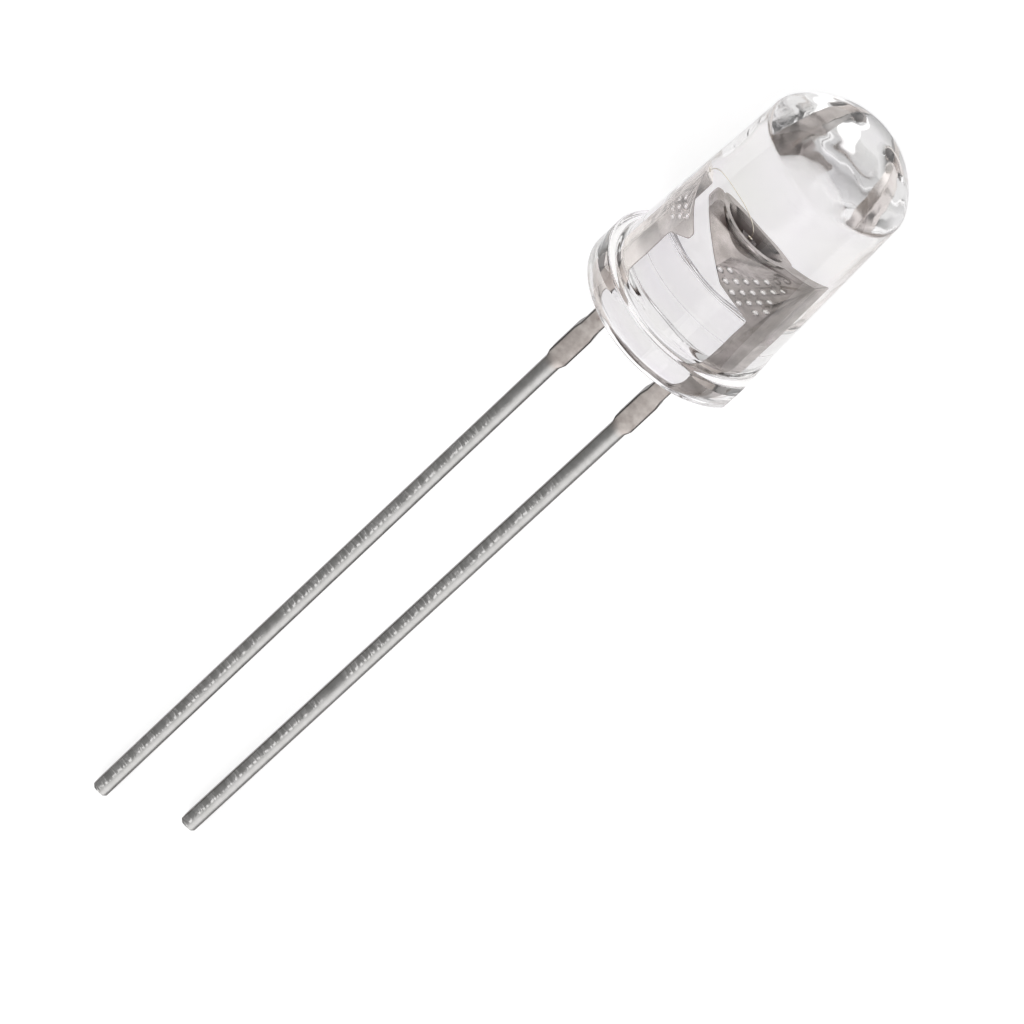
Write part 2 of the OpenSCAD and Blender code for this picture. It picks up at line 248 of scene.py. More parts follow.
# %% Helpers for patterns and height
def add_noise(tree, vector, size, detail=2.0, stretch=None):
    """Noise whose blobs are about size across, in the vector's own unit. stretch multiplies the
    vector first, so a factor over 1 squeezes the blobs along that axis."""
    noise = tree.nodes.new("ShaderNodeTexNoise")
    noise.inputs["Scale"].default_value = 1 / size
    noise.inputs["Detail"].default_value = detail
    if stretch:
        mapping = tree.nodes.new("ShaderNodeMapping")
        mapping.inputs["Scale"].default_value = stretch
        tree.links.new(vector, mapping.inputs["Vector"])
        vector = mapping.outputs["Vector"]
    tree.links.new(vector, noise.inputs["Vector"])
    return noise.outputs["Fac"]


def add_tones(tree, value, first, second, first_to=0.3, second_from=0.7):
    """Two colours: the first up to one value, the second from another, blended between."""
    ramp = tree.nodes.new("ShaderNodeValToRGB")
    ends = ramp.color_ramp.elements
    for end, place, colour in ((ends[0], first_to, first), (ends[1], second_from, second)):
        end.position = place
        end.color = (*colour, 1)
    tree.links.new(value, ramp.inputs["Fac"])
    return ramp.outputs["Color"]


def add_bump(tree, height, depth, shader, normal=None):
    """A bump that is depth metres high in all, feeding the shader's normal."""
    bump = tree.nodes.new("ShaderNodeBump")
    bump.inputs["Distance"].default_value = depth
    tree.links.new(height, bump.inputs["Height"])
    if normal:
        tree.links.new(normal, bump.inputs["Normal"])
    tree.links.new(bump.outputs["Normal"], shader.inputs["Normal"])
    return bump.outputs["Normal"]


# %% [markdown]
# ### Clear resin
# The resin is a clear epoxy with a refractive index of 1.53. A real casting is never perfect.
# Its skin has shallow waves, a millimetre or two long, from the mould and from shrinking. The
# dome has a finer ripple as well and is a little less polished, because the round end of a
# mould is the hardest to polish. None of it is seen by itself, but it bends the light and
# breaks up what shows in the dome. The waves could be pushed into the mesh, but then the lens
# would no longer have the exact size. A bump bends the light as well and keeps the size.

# %% The resin's tint and waves
EPOXY_IOR = 1.53
ROSE_TINT = (0.97, 0.94, 0.985)
STRAW_TINT = (0.98, 0.98, 0.955)
TINT_SIZE = 2.5 * MM
WAVE_SIZE = 1.6 * MM
WAVE_HEIGHT = 0.03 * MM
RIPPLE_SIZE = 0.8 * MM
RIPPLE_HEIGHT = 0.026 * MM
DOME_FROM = 6.2
DOME_FULL = 7.2
BARREL_ROUGH = 0.003
DOME_ROUGH = 0.05
print("waves", WAVE_SIZE / MM, "mm long; the dome from", DOME_FROM, "mm up")


# %% Clear epoxy
def make_epoxy():
    """Clear resin: the colour drifts a very little between two tints, waves bend the skin, and
    in the dome, told by the height along the lens axis, it is rougher and rippled."""
    material, tree, shader, place = new_material("clear_epoxy")
    shader.inputs["IOR"].default_value = EPOXY_IOR
    shader.inputs["Transmission Weight"].default_value = 1.0
    tint = add_tones(tree, add_noise(tree, place, TINT_SIZE), ROSE_TINT, STRAW_TINT)
    tree.links.new(tint, shader.inputs["Base Color"])
    in_the_dome = add_mask(tree, add_dot(tree, place, TO_DOME / MM), DOME_FROM, DOME_FULL)
    rough = add_range(tree, in_the_dome, BARREL_ROUGH, DOME_ROUGH)
    tree.links.new(rough, shader.inputs["Roughness"])
    waves = add_noise(tree, place, WAVE_SIZE, detail=1.0)
    waved = add_bump(tree, waves, WAVE_HEIGHT, shader)
    ripple = add_math(tree, "MULTIPLY", add_noise(tree, place, RIPPLE_SIZE, 1.0), in_the_dome)
    add_bump(tree, ripple, RIPPLE_HEIGHT, shader, normal=waved)
    return material


EPOXY = make_epoxy()
print("resin", EPOXY.name, "index", EPOXY_IOR)

# %% [markdown]
# ### Tin plate on the heads
# The frame is mild steel, plated with tin. Inside the lens the plating is a warm grey. The
# anvil's copy of it is darker than the bonding head's: that is painted shade on the same plate.
# The punch that coins the dimples burnishes them, so they are smoother than the sheet round
# them, and their lighter tone is a painted highlight. Little light gets down into the reflector
# cup, so it gets a painted shade that deepens towards its floor, where it is also duller. Each
# dimple could have a material of its own, but then every one would end in a hard line. Instead
# two attributes, which are written into the mesh further down, tell one material where the
# dimples and the cup are.

# %% Tin plate's tones and grain
# The anvil's tones are darker than the head's: painted shade on the same tin plate.
ANVIL_SHADED_TONES = ((0.32, 0.295, 0.275), (0.52, 0.48, 0.46))
HEAD_TONES = ((0.78, 0.73, 0.70), (0.90, 0.86, 0.82))
PLATE_BLOTCH = 0.35 * MM
PLATE_ROUGH = (0.10, 0.2)
PLATE_GRAIN = 0.15 * MM
PLATE_GRAIN_HEIGHT = 0.0008 * MM
# The dimples' light tone is a painted highlight; their share of the roughness is real burnishing.
BURNISHED_HIGHLIGHT_TONE = (0.95, 0.93, 0.91)
BURNISHED_SHARE = 0.3
# Painted shade in the reflector cup, darkest at its floor.
CUP_PAINTED_SHADE = (0.06, 0.035, 0.03)
CUP_ROUGH = 0.5
print("plate blotches", PLATE_BLOTCH / MM, "mm, grain", PLATE_GRAIN / MM, "mm")


# %% Tin plate
def add_mix(tree, amount, under, over):
    """Two colours mixed by a value; the one on top is a socket or a plain colour."""
    mix = tree.nodes.new("ShaderNodeMix")
    mix.data_type = "RGBA"
    tree.links.new(amount, mix.inputs["Factor"])
    sockets = {item.name: item for item in mix.inputs if item.type == "RGBA"}
    feed(tree, sockets["A"], under)
    feed(tree, sockets["B"], (*over, 1) if isinstance(over, tuple) else over)
    return [item for item in mix.outputs if item.type == "RGBA"][0]


def add_attribute(tree, name):
    """The value that the mesh holds under a name."""
    attribute = tree.nodes.new("ShaderNodeAttribute")
    attribute.attribute_name = name
    return attribute.outputs["Fac"]


def make_tin(name, tones):
    """Tin plate: a blotchy tone and roughness. "coined" is 1 in a dimple, where the roughness
    falls to a share, and "in_cup" grows from 0 at the cup's rim to 1 at its floor, where the
    roughness is the larger of the plate's and the cup's."""
    material, tree, shader, place = new_material(name)
    shader.inputs["Metallic"].default_value = 1.0
    blotch = add_noise(tree, place, PLATE_BLOTCH, detail=4.0)
    coined = add_attribute(tree, "coined")
    in_cup = add_attribute(tree, "in_cup")
    # Painted highlight: the tone in each dimple is mixed towards a light one.
    tone = add_mix(tree, coined, add_tones(tree, blotch, *tones), BURNISHED_HIGHLIGHT_TONE)
    # Painted shade: the tone in the cup is mixed towards near black, most at its floor.
    tone = add_mix(tree, in_cup, tone, CUP_PAINTED_SHADE)
    tree.links.new(tone, shader.inputs["Base Color"])
    polish = add_range(tree, coined, 1.0, BURNISHED_SHARE, soft=True)
    rough = add_math(tree, "MULTIPLY", add_range(tree, blotch, *PLATE_ROUGH), polish)
    rough = add_math(tree, "MAXIMUM", rough, add_range(tree, in_cup, 0.0, CUP_ROUGH))
    tree.links.new(rough, shader.inputs["Roughness"])
    grain = add_noise(tree, place, PLATE_GRAIN, detail=1.0)
    add_bump(tree, grain, PLATE_GRAIN_HEIGHT, shader)
    return material


# The anvil's copy of the plate carries painted shade in its darker tones.
ANVIL_SHADED_TIN = make_tin("anvil_shaded_tin", ANVIL_SHADED_TONES)
HEAD_TIN = make_tin("head_tin", HEAD_TONES)
print("plate", ANVIL_SHADED_TIN.name, HEAD_TIN.name)

# %% [markdown]
# ### Tin plate on the legs
# Outside the lens the tin is a grey satin metal. The shears left short cross marks along one
# side of each bar. The dark lines along the rounded edges of the face and over the sides are
# painted shade. The stub, where the tie bar was, is warmer. The lamp lies askew, so Object
# coordinates don't run along its leads.
# These marks are drawn on the leg's own UV map instead, where u runs across from -1 to 1 and v
# along in millimetres.

# %% Marks and tones of the legs
LEG_MAP = "across_along"
MARK_SQUEEZE = (0.7, 9.0, 1.0)
MARK_EDGES = (0.42, 0.62)
MARK_SIDE = (0.1, -0.25)
MARK_START = (STUB_FOOT - 0.85, STUB_FOOT - 4.35)
MARK_TONE = (0.72, 0.71, 0.70)
MARK_HEIGHT = 0.009 * MM
PATCH_SQUEEZE = (0.2, 0.45, 1.0)
PATCH_EDGES = (0.3, 0.5)
BAR_TONES = ((0.50, 0.495, 0.48), (0.62, 0.61, 0.60))
STUB_TONES = ((0.52, 0.46, 0.43), (0.76, 0.70, 0.66))
STUB_FROM = (STUB_FOOT - 0.25, STUB_FOOT + 0.15)
# Painted shade along the rounded edges and the sides of each bar.
EDGE_SHADE_LINE = (0.78, 0.94)
EDGE_SHADE_TONE = (0.2, 0.185, 0.18)
LEG_BLOTCH = 0.25 * MM
LEG_ROUGH = (0.24, 0.36)
LEG_GRAIN = 0.05 * MM
LEG_GRAIN_HEIGHT = 0.0015 * MM
print("marks start at z", MARK_START[0], "mm and are full at", MARK_START[1], "mm")


# %% Tin on the legs
def add_parts(tree, vector):
    """The x, y and z of a vector."""
    parts = tree.nodes.new("ShaderNodeSeparateXYZ")
    tree.links.new(vector, parts.inputs[0])
    return parts.outputs


def make_leg_tin():
    """The marks are noise squeezed along the lead. They are multiplied by three masks, which
    keep them on one side, away from the stub and in patches. They stand up a little."""
    material, tree, shader, place = new_material("leg_tin")
    shader.inputs["Metallic"].default_value = 1.0
    uv = tree.nodes.new("ShaderNodeUVMap")
    uv.uv_map = LEG_MAP
    across, along, _ = add_parts(tree, uv.outputs["UV"])
    shear = add_noise(tree, uv.outputs["UV"], 1.0, detail=1.0, stretch=MARK_SQUEEZE)
    patches = add_noise(tree, uv.outputs["UV"], 1.0, detail=1.0, stretch=PATCH_SQUEEZE)
    marks = add_mask(tree, shear, *MARK_EDGES)
    for value, limits in ((across, MARK_SIDE), (along, MARK_START), (patches, PATCH_EDGES)):
        marks = add_math(tree, "MULTIPLY", marks, add_mask(tree, value, *limits))
    blotch = add_noise(tree, place, LEG_BLOTCH, detail=5.0)
    stub = add_tones(tree, blotch, *STUB_TONES)
    bar = add_tones(tree, blotch, *BAR_TONES)
    tone = add_mix(tree, add_mask(tree, along, *STUB_FROM), bar, stub)
    tone = add_mix(tree, marks, tone, MARK_TONE)
    # Painted shade: dark lines along the face's rounded edges and over the sides.
    sides = add_mask(tree, add_math(tree, "ABSOLUTE", across), *EDGE_SHADE_LINE)
    tone = add_mix(tree, sides, tone, EDGE_SHADE_TONE)
    tree.links.new(tone, shader.inputs["Base Color"])
    tree.links.new(add_range(tree, blotch, *LEG_ROUGH), shader.inputs["Roughness"])
    marked = add_bump(tree, marks, MARK_HEIGHT, shader)
    grain = add_noise(tree, place, LEG_GRAIN, detail=3.0)
    add_bump(tree, grain, LEG_GRAIN_HEIGHT, shader, normal=marked)
    return material


LEG_TIN = make_leg_tin()
print("legs", LEG_TIN.name)

# %% [markdown]
# ## The lens
# The casting is a surface of revolution: one half profile, walked from the middle of the seat to
# the top of the dome, is turned round the axis. The lamp is cast upside down, so the seat was
# the free face of the resin. Liquid climbs the wall of its mould, so the seat is a shallow dish
# with a steep rim, and that rim bends the flange's light into bands. A plane then takes the flat
# off the flange, as the mould does. A Screw modifier could turn the profile too. Arrays are used
# because the closed shell is then there at once, ready to be cut and joined.

# %% Stretches of the profile
DISH_STEPS = 40
EDGE_STEPS = 7
WALL_STEPS = 6
FILLET_STEPS = 9
BARREL_STEPS = 30
SHOULDER_STEPS = 10
DOME_STEPS = 40


def arc(centre_r, centre_z, radius, start, end, count):
    """Points on a circle from one angle to another, in degrees, ends included."""
    angle = np.radians(np.linspace(start, end, count))
    return np.stack([centre_r + radius * np.cos(angle), centre_z + radius * np.sin(angle)], 1)


def line(start, end, count):
    """Points evenly along a straight stretch, without its two ends."""
    return start + np.linspace(0, 1, count)[1:-1, None] * (end - start)


def seat_dish(rim):
    """The dish's depth grows from the rim inwards as 1 - exp(-distance / reach). The points go
    out by a sine, so they crowd at the steep rim."""
    out = rim * np.sin(np.linspace(0, math.pi / 2, DISH_STEPS))[:-1]
    return np.stack([out, SEAT_DISH * (1 - np.exp((out - rim) / SEAT_DISH_REACH))], 1)


# %% Profile of the lens
def lens_profile():
    """The (radius, height) points of the casting's outside, from the seat upwards: the dish, the
    rounded edge, the flange's wall and upper edge, the fillet, the drafted barrel, the shoulder
    whose circle touches both barrel and dome, and the dome. The shoulder's centre lies on the
    barrel's line moved inwards by its radius, where it is one radius short of the dome."""
    draft = math.degrees(BARREL_DRAFT)
    inward = -np.array([math.cos(BARREL_DRAFT), math.sin(BARREL_DRAFT)])
    upward = np.array([-math.sin(BARREL_DRAFT), math.cos(BARREL_DRAFT)])
    dome_centre = np.array([0, LENS_HEIGHT - DOME_R])
    base = np.array([BARREL_R, FLANGE_H]) + SHOULDER_R * inward - dome_centre
    climb = base @ upward
    along = math.sqrt((DOME_R - SHOULDER_R) ** 2 - base @ base + climb ** 2) - climb
    from_dome = base + along * upward
    dome_start = math.degrees(math.atan2(from_dome[1], from_dome[0]))
    fillet_r = BARREL_R + FLANGE_FILLET * (1 / math.cos(BARREL_DRAFT) - math.tan(BARREL_DRAFT))
    seat = arc(FLANGE_R - SEAT_EDGE, SEAT_EDGE, SEAT_EDGE, -90, 0, EDGE_STEPS)
    top = arc(FLANGE_R - FLANGE_EDGE, FLANGE_H - FLANGE_EDGE, FLANGE_EDGE, 0, 90, EDGE_STEPS)
    fillet = arc(fillet_r, FLANGE_H + FLANGE_FILLET, FLANGE_FILLET, 270, 180 + draft, FILLET_STEPS)
    shoulder = arc(*(dome_centre + from_dome), SHOULDER_R, draft, dome_start, SHOULDER_STEPS)
    dome = arc(*dome_centre, DOME_R, dome_start, 90, DOME_STEPS)
    wall = line(seat[-1], top[0], WALL_STEPS)
    barrel = line(fillet[-1], shoulder[0], BARREL_STEPS)
    dish = seat_dish(seat[0, 0])
    return np.concatenate([dish, seat, wall, top, fillet, barrel, shoulder, dome[1:]])


profile = lens_profile()
print(len(profile), "points, widest", profile[:, 0].max(), "mm, top", profile[-1, 1].round(3), "mm")

# %% Cutting a closed mesh
def open_edges(bm):
    """How many edges don't lie between two faces."""
    return sum(not edge.is_manifold for edge in bm.edges)


def cut_and_close(bm, **plane):
    """Cuts by a plane, drops one side and closes the opening with one face."""
    everything = bm.verts[:] + bm.edges[:] + bm.faces[:]
    cut = bmesh.ops.bisect_plane(bm, geom=everything, **plane)
    rim = [item for item in cut["geom_cut"] if isinstance(item, bmesh.types.BMEdge)]
    bmesh.ops.contextual_create(bm, geom=rim)
    bmesh.ops.recalc_face_normals(bm, faces=bm.faces[:])


# %% The shell turned from it
LENS_COLUMNS = 256
ON_PLANE = 1e-6


def turned(outline, columns, x=0.0):
    """Points (x + r cos a, r sin a, z) for every outline point and every angle a. The outline
    starts and ends on the axis, where single points close the two poles."""
    angle = np.linspace(0, 2 * math.pi, columns, endpoint=False)
    radius, height = outline[1:-1, :1], outline[1:-1, 1:]
    rings = np.stack([x + radius * np.cos(angle), radius * np.sin(angle), height + 0 * angle], -1)
    points = np.vstack([rings.reshape(-1, 3), [x, 0, outline[0, 1]], [x, 0, outline[-1, 1]]])
    last = len(points) - 2 - columns
    j = np.arange(columns)
    k = (j + 1) % columns
    first_fan = np.stack([k, j, np.full(columns, len(points) - 2)], 1)
    last_fan = np.stack([last + j, last + k, np.full(columns, len(points) - 1)], 1)
    return points, grid_faces(len(outline) - 2, columns) + first_fan.tolist() + last_fan.tolist()


def body_mesh():
    """The turned shell, in upright millimetres, cut by the flat and closed there."""
    points, faces = turned(profile, LENS_COLUMNS)
    mesh = bpy.data.meshes.new("shell")
    mesh.from_pydata(points.tolist(), [], faces)
    bm = bmesh.new()
    bm.from_mesh(mesh)
    cut_and_close(bm, dist=ON_PLANE, plane_co=(FLAT_X, 0, 0), plane_no=(1, 0, 0), clear_outer=True)
    print("body", len(bm.faces), "faces, open edges", open_edges(bm))
    bm.to_mesh(mesh)
    bm.free()
    return mesh


body = body_mesh()

# %% [markdown]
# While the resin set, it climbed down each lead a little. That makes a collar with a hollow
# flank: seen from the side it is an arc that runs out along the lead. Each collar is turned as a
# closed solid, and a Boolean joins it to the body, so that the resin is one skin with no wall
# inside it. A wall inside would bend the light a second time.

# %% Outline of a collar
COLLAR_COLUMNS = 64
COLLAR_ROWS = 24
COLLAR_CORE = 0.025
COLLAR_TOP = 0.45
COLLAR_TAPER = 0.8
COLLAR_SWING = math.radians(75)


def collar_outline():
    """Radius against depth is an arc, upright at its foot: r = core + flank (1 - cos a). Above
    it, inside the body, the collar narrows and ends flat."""
    core = min(POST_W, SHEET_T) / 2 - COLLAR_CORE
    flank = (CREEP_SPREAD ** 2 + CREEP_H ** 2) / (2 * CREEP_SPREAD)
    swing = np.linspace(0, COLLAR_SWING, COLLAR_ROWS)
    side = np.stack([core + flank - flank * np.cos(swing), -CREEP_H + flank * np.sin(swing)], 1)
    inside = [[side[-1, 0] * COLLAR_TAPER, COLLAR_TOP], [0, COLLAR_TOP]]
    return np.vstack([[[0, -CREEP_H]], side, inside])


# %% The collars joined to the body
def join(mesh, solids):
    """The Boolean union of a mesh with some more, each given as (points, faces)."""
    base = new_object("base", mesh)
    others = []
    for points, faces in solids:
        collar = bpy.data.meshes.new("collar")
        collar.from_pydata(points.tolist(), [], faces)
        others.append(new_object("collar", collar))
        union = base.modifiers.new("union", "BOOLEAN")
        union.operation = "UNION"
        union.solver = "EXACT"
        union.object = others[-1]
    evaluated = base.evaluated_get(bpy.context.evaluated_depsgraph_get())
    joined = bpy.data.meshes.new_from_object(evaluated)
    for obj in others + [base]:
        bpy.data.objects.remove(obj)
    return joined


collars = [turned(collar_outline(), COLLAR_COLUMNS, x) for x in LEAD_X.values()]
lens_mesh = join(body, collars)
print("lens", len(lens_mesh.polygons), "faces")

# %% The lens body laid down
lens_mesh.name = "lens_body"
lens_mesh.transform((LAY * MM).to_4x4())
shade(lens_mesh)
add_piece("lens_body", lens_mesh, EPOXY, "lens")

# %% [markdown]
# ## The legs
# Below the lens each lead is a square bar, sheared from the sheet. The punch rolls its edges
# over, so its broad face is slightly crowned. The bar widens into a stub where the tie bar of
# the strip was cut away. A bevelled box would have one section all along, so each leg is a
# profile carried along a line, whose width, corner and crown change on the way.

# %% Section of a leg
LEG_COLUMNS = 64
EVEN_SPREAD = 8
NO_LENGTH = 1e-9


def leg_section(half_w, corner, crown):
    """A rounded rectangle with crowned faces. Its points start out evenly round a squared
    circle, |x|^8 + |y|^8 = 1, stretched to the bar. What reaches past the core, which is the
    bar less its corners, is brought to the corner's radius. Then the faces sink with the
    square of the distance from the middle."""
    half_t = SHEET_T / 2
    turn = (np.arange(LEG_COLUMNS) + 0.5) * 2 * math.pi / LEG_COLUMNS
    powers = np.abs(np.cos(turn)) ** EVEN_SPREAD + np.abs(np.sin(turn)) ** EVEN_SPREAD
    reach = powers ** (-1 / EVEN_SPREAD)
    x, y = reach * np.cos(turn) * half_w, reach * np.sin(turn) * half_t
    core_x = np.clip(x, corner - half_w, half_w - corner)
    core_y = np.clip(y, corner - half_t, half_t - corner)
    length = np.maximum(np.hypot(x - core_x, y - core_y), NO_LENGTH)
    x = core_x + (x - core_x) / length * corner
    y = core_y + (y - core_y) / length * corner
    return x, y * (1 - crown / half_t * (x / half_w) ** 2)


print("a leg has", LEG_COLUMNS, "points round")

# %% A closed mesh from points
def closed_mesh(name, points, faces):
    """A mesh from upright points (n, 3) and faces, laid down, with its faces turned outwards."""
    mesh = bpy.data.meshes.new(name)
    mesh.from_pydata(laid_down(points).tolist(), [], faces)
    bm = bmesh.new()
    bm.from_mesh(mesh)
    bmesh.ops.recalc_face_normals(bm, faces=bm.faces[:])
    print(name, len(bm.faces), "faces, open edges", open_edges(bm))
    bm.to_mesh(mesh)
    bm.free()
    shade(mesh)
    return mesh


# %% Stations of a leg
LEG_TOP = 0.12
FOOT_RUN = 0.3
BAR_CORNER, BAR_CROWN = 0.07, 0.04
TIP_CORNER, TIP_CROWN = 0.05, 0.03
FOOT_CORNER, FOOT_CROWN = 0.06, 0.03
STUB_CORNER, STUB_CROWN = 0.035, 0.004
POST_CORNER, NECK_CORNER = 0.04, 0.03
print("stub from z", STUB_FOOT, "to", -STUB_DROP, "mm")


def leg_stations(name):
    """Rows of (steps up to the next row, z, middle x, half width, corner, crown), from the tip
    to the neck."""
    x, length = LEAD_X[name], LEAD_LENGTH[name]
    tip = x + TOWARDS_MIDDLE[name] * TOE_IN
    bar, stub, post = LEAD_W / 2, STUB_W / 2, POST_W / 2
    return [(2, -length, tip, bar - TIP_BEVEL, TIP_CORNER, TIP_CROWN),
            (120, -length + TIP_BEVEL, tip, bar, BAR_CORNER, BAR_CROWN),
            (4, STUB_FOOT - FOOT_RUN, x, bar, BAR_CORNER, BAR_CROWN),
            (6, STUB_FOOT, x, bar, FOOT_CORNER, FOOT_CROWN),
            (12, STUB_FOOT + STUB_SLOPE, x, stub, STUB_CORNER, STUB_CROWN),
            (6, -STUB_DROP - STUB_SLOPE, x, stub, STUB_CORNER, STUB_CROWN),
            (16, -STUB_DROP, x, post, POST_CORNER, STUB_CROWN),
            (1, LEG_TOP, x, post, NECK_CORNER, 0.0)]


# %% Both legs
def make_leg(name):
    """Carries the section from station to station, evenly between two of them, and closes each
    end with one face. The UV map holds the place across, from -1 to 1, and along."""
    stations = leg_stations(name)
    rows = [np.linspace(start[1:], end[1:], start[0], endpoint=False)
            for start, end in zip(stations, stations[1:])]
    rows = np.vstack(rows + [stations[-1][1:]])
    z, x, half_w, corner, crown = rows.T[:, :, None]
    across, deep = leg_section(half_w, corner, crown)
    points = np.stack([x + across, deep, z + 0 * across], -1).reshape(-1, 3)
    where = np.stack([across / half_w, z + 0 * across], -1).reshape(-1, 2)
    last = len(points) - LEG_COLUMNS
    ends = [list(range(LEG_COLUMNS)), list(range(last, len(points)))]
    mesh = closed_mesh(name + "_leg", points, grid_faces(len(rows), LEG_COLUMNS) + ends)
    corners = np.empty(len(mesh.loops), dtype=np.int32)
    mesh.loops.foreach_get("vertex_index", corners)
    mesh.uv_layers.new(name=LEG_MAP).data.foreach_set("uv", where[corners].ravel())
    add_piece(name + "_leg", mesh, LEG_TIN, name + "_lead")


for lead in LEAD_X:
    make_leg(lead)

# %% [markdown]
# ## The frame inside the lens
# The bonding head, the anvil and its reflector cup have the CAD model's outlines, dimples and
# cup. What the model leaves out is the soft edge that a punch gives: the sheet rolls over as it
# is cut. So each head is a copy of the CAD mesh, merged and cut off at the neck, with a bevel on
# the edges between its faces and its cut sides only. The dimples keep their sharp rims.

# %% Which points lie in a dimple or in the cup
CUP_X = -FRAME_OFFSET
CUP_MOUTH_R = 0.62
CUP_DEPTH = 0.38
RIM_Z = 4.38
NOSE_Z = 3.76
DIMPLE_DEPTH = 0.045
FACE_SKIN = 0.002
DEEPEST_DIMPLE = 1.2 * DIMPLE_DEPTH
CUP_MARGIN = 0.01


def mark_hollows(mesh):
    """Writes two attributes for each point: "coined" is its depth below the coined face over a
    dimple's depth, and "in_cup" is the root of its depth below the rim over the cup's depth."""
    points = np.empty(len(mesh.vertices) * 3)
    mesh.vertices.foreach_get("co", points)
    x, y, z = stood_up(points.reshape(-1, 3)).T
    below_face = y + SHEET_T / 2
    in_dimple = (z < NOSE_Z) & (below_face > FACE_SKIN) & (below_face < DEEPEST_DIMPLE)
    in_mouth = np.hypot(x - CUP_X, y) < CUP_MOUTH_R + CUP_MARGIN
    above_floor = z > RIM_Z - CUP_DEPTH - CUP_MARGIN
    coined = np.where(in_dimple, below_face / DIMPLE_DEPTH, 0)
    in_cup = np.where(in_mouth & above_floor, np.maximum(RIM_Z - z, 0) / CUP_DEPTH, 0) ** 0.5
    for name, values in (("coined", coined), ("in_cup", in_cup)):
        attribute = mesh.attributes.new(name, "FLOAT", "POINT")
        attribute.data.foreach_set("value", np.clip(values, 0, 1))
        print(mesh.name, name, int((values > 0).sum()), "points")


# %% Edges for the punch to roll over
SIDE_ON = 0.02
FACE_ON = 0.98


def mark_outline(bm):
    """Gives a bevel weight to the edges where a cut side meets the front or back face: seen
    along the sheet's thickness, one face is side on and the other face on."""
    weight = bm.edges.layers.float.new("bevel_weight_edge")
    marked = 0
    for edge in bm.edges:
        facing = sorted(abs(face.normal @ TO_BACK) for face in edge.link_faces)
        if len(facing) == 2 and facing[0] < SIDE_ON and facing[1] > FACE_ON:
            edge[weight] = 1.0
            marked += 1
    return marked


# %% Heads from the CAD mesh
ROLLOVER = 0.045
ROLLOVER_STEPS = 4
NECK_CUT = 0.1
SAME_POINT = 0.0005
SAME_PLANE = math.radians(0.5)
NECK_ON_PLANE = 1e-4
HEAD_SMOOTH_UP_TO = 30


def make_head(node_name, piece_name, material):
    """Copies the CAD mesh, merges it, drops what is below the neck and rolls its outline. Its
    triangles are dissolved into whole faces first, so that the bevel has clean corners."""
    bm = bmesh.new()
    bm.from_mesh(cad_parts[node_name].data)
    bmesh.ops.remove_doubles(bm, verts=bm.verts[:], dist=SAME_POINT * MM)
    bmesh.ops.dissolve_limit(bm, angle_limit=SAME_PLANE, use_dissolve_boundaries=False,
                             verts=bm.verts[:], edges=bm.edges[:])
    cut_and_close(bm, dist=NECK_ON_PLANE * MM, plane_co=TO_DOME * NECK_CUT * MM, plane_no=TO_DOME,
                  clear_inner=True)
    marked = mark_outline(bm)
    print(piece_name, len(bm.faces), "faces,", marked, "edges to roll over, open edges",
          open_edges(bm))
    mesh = bpy.data.meshes.new(piece_name)
    bm.to_mesh(mesh)
    bm.free()
    mark_hollows(mesh)
    shade(mesh, HEAD_SMOOTH_UP_TO)
    piece = add_piece(piece_name, mesh, material, node_name)
    bevel = piece.modifiers.new("rollover", "BEVEL")
    bevel.limit_method = "WEIGHT"
    bevel.width = ROLLOVER * MM
    bevel.segments = ROLLOVER_STEPS
    bevel.use_clamp_overlap = True
    bevel.harden_normals = True


make_head("anode_lead", "bonding_head", HEAD_TIN)
make_head("cathode_lead", "anvil", ANVIL_SHADED_TIN)

# %% [markdown]
# ## Chip, adhesive and wire
# The chip is a dark cube of gallium compound with a gold pad. It sits in silver-filled epoxy,
# and a gold wire finer than a hair runs from its pad to the bonding head. All three keep their
# CAD shapes, because they are already as fine as the eye can see through the resin, so only
# their finishes are made here.

# %% Chip, adhesive and wire
SMALL_TONE_ENDS = (0.35, 0.65)
ROUGH_SPREAD = 0.2
GRAIN_FLATNESS = 20


def make_small(name, dark, light, metallic, rough, grain_size):
    """A finish for a very small piece: two tones in fine noise, which also gives the spread of
    the roughness and a bump whose height is a small share of the grain's size."""
    material, tree, shader, place = new_material(name)
    shader.inputs["Metallic"].default_value = metallic
    grain = add_noise(tree, place, grain_size, detail=3.0)
    tone = add_tones(tree, grain, dark, light, *SMALL_TONE_ENDS)
    tree.links.new(tone, shader.inputs["Base Color"])
    blotch = add_range(tree, grain, rough * (1 - ROUGH_SPREAD), rough * (1 + ROUGH_SPREAD))
    tree.links.new(blotch, shader.inputs["Roughness"])
    add_bump(tree, grain, grain_size / GRAIN_FLATNESS, shader)
    return material


SMALL_FINISHES = {
    "die": make_small("chip_crystal", dark=(0.05, 0.035, 0.035), light=(0.12, 0.07, 0.06),
                      metallic=0.2, rough=0.25, grain_size=0.05 * MM),
    "die_attach": make_small("silver_adhesive", dark=(0.55, 0.54, 0.52), light=(0.75, 0.74, 0.72),
                             metallic=0.7, rough=0.45, grain_size=0.02 * MM),
    "bond_wire": make_small("gold_wire", dark=(0.86, 0.80, 0.68), light=(0.95, 0.90, 0.79),
                            metallic=1.0, rough=0.2, grain_size=0.01 * MM),
}
for node_name, finish in SMALL_FINISHES.items():
    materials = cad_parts[node_name].data.materials
    materials.clear()
    materials.append(finish)
    print(node_name, finish.name)

# %% [markdown]
# ## The table
# The table is plain white. To the camera it is a pale grey plane with a little glow of its own,
# so it reads as white and still takes the lamp's soft shadow. Metal shows a dimmer glow, which
# keeps its undersides grey. Clear things have no colour of their own. A studio stands dark cards
# at both sides of them to give them an edge, and here the glow that shows through the resin
# fades out to the sides instead.

